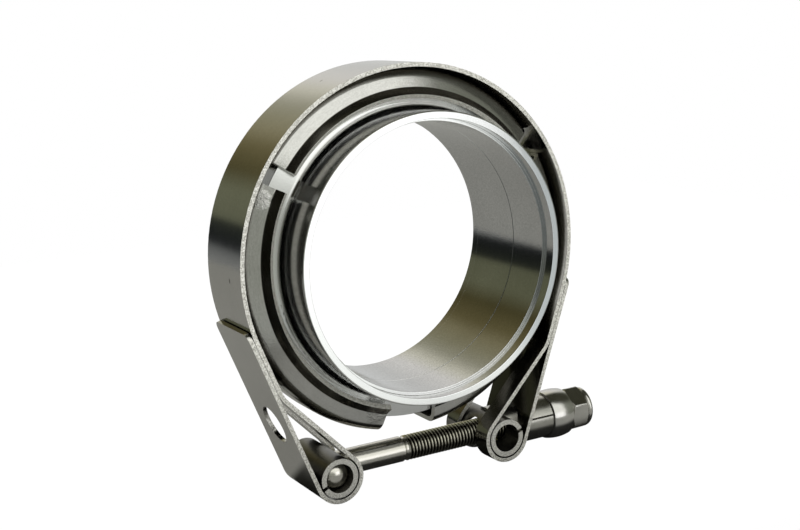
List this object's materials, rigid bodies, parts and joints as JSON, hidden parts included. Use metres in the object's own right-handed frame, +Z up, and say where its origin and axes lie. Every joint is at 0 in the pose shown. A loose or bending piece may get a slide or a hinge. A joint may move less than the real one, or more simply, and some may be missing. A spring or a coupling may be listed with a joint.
{
  "type": "v band clamp with pipe flanges",
  "caption": "V band clamp: folded strap with welded V retainers and a tee bolt, drawing a male and a female pipe flange together.",
  "frame": {"origin": "on the clamp's axis, in the plane where the two flanges meet, which is the middle of the strap's width", "axes": "+Y along the bore from the female flange's open end to the male flange's, +X along the tee bolt towards its nut, +Z up, away from the tee bolt"},
  "size_m": [0.0983, 0.0356, 0.1009],
  "materials": {
    "strap_steel": "cold-rolled stainless strip, satin outside, bright sheared edges",
    "retainer_steel": "pressed stainless sheet, smooth with fine pits",
    "flange_steel": "turned stainless",
    "bolt_steel": "stainless, rolled thread",
    "tube_steel": "rolled stainless sheet",
    "sleeve_steel": "rolled stainless sheet",
    "nut_steel": "turned stainless, lightly polished"
  },
  "bodies": {
    "clamp": {"band_strap": "strap_steel", "retainer_top": "retainer_steel", "retainer_left": "retainer_steel", "retainer_right": "retainer_steel", "front_flange": "flange_steel", "rear_flange": "flange_steel", "tee_bolt": "bolt_steel", "head_trunnion_tube": "tube_steel", "nut_trunnion_tube": "tube_steel"},
    "sleeve": {"saddle_sleeve": "sleeve_steel"},
    "nut": {"lock_nut": "nut_steel"}
  },
  "joints": [
    {"name": "sleeve_slide", "type": "slide", "parent": "clamp", "child": "sleeve", "axis": [1, 0, 0], "range_m": [0, 0.0109]},
    {"name": "nut_turn", "type": "hinge", "parent": "sleeve", "child": "nut", "pos_m": [0.047, 0, -0.05], "axis": [1, 0, 0], "range_deg": [0, 4330]}
  ],
  "couplings": [
    {"joint": "nut_turn", "follows": "sleeve_slide", "rad_per_m": 6926.5}
  ]
}
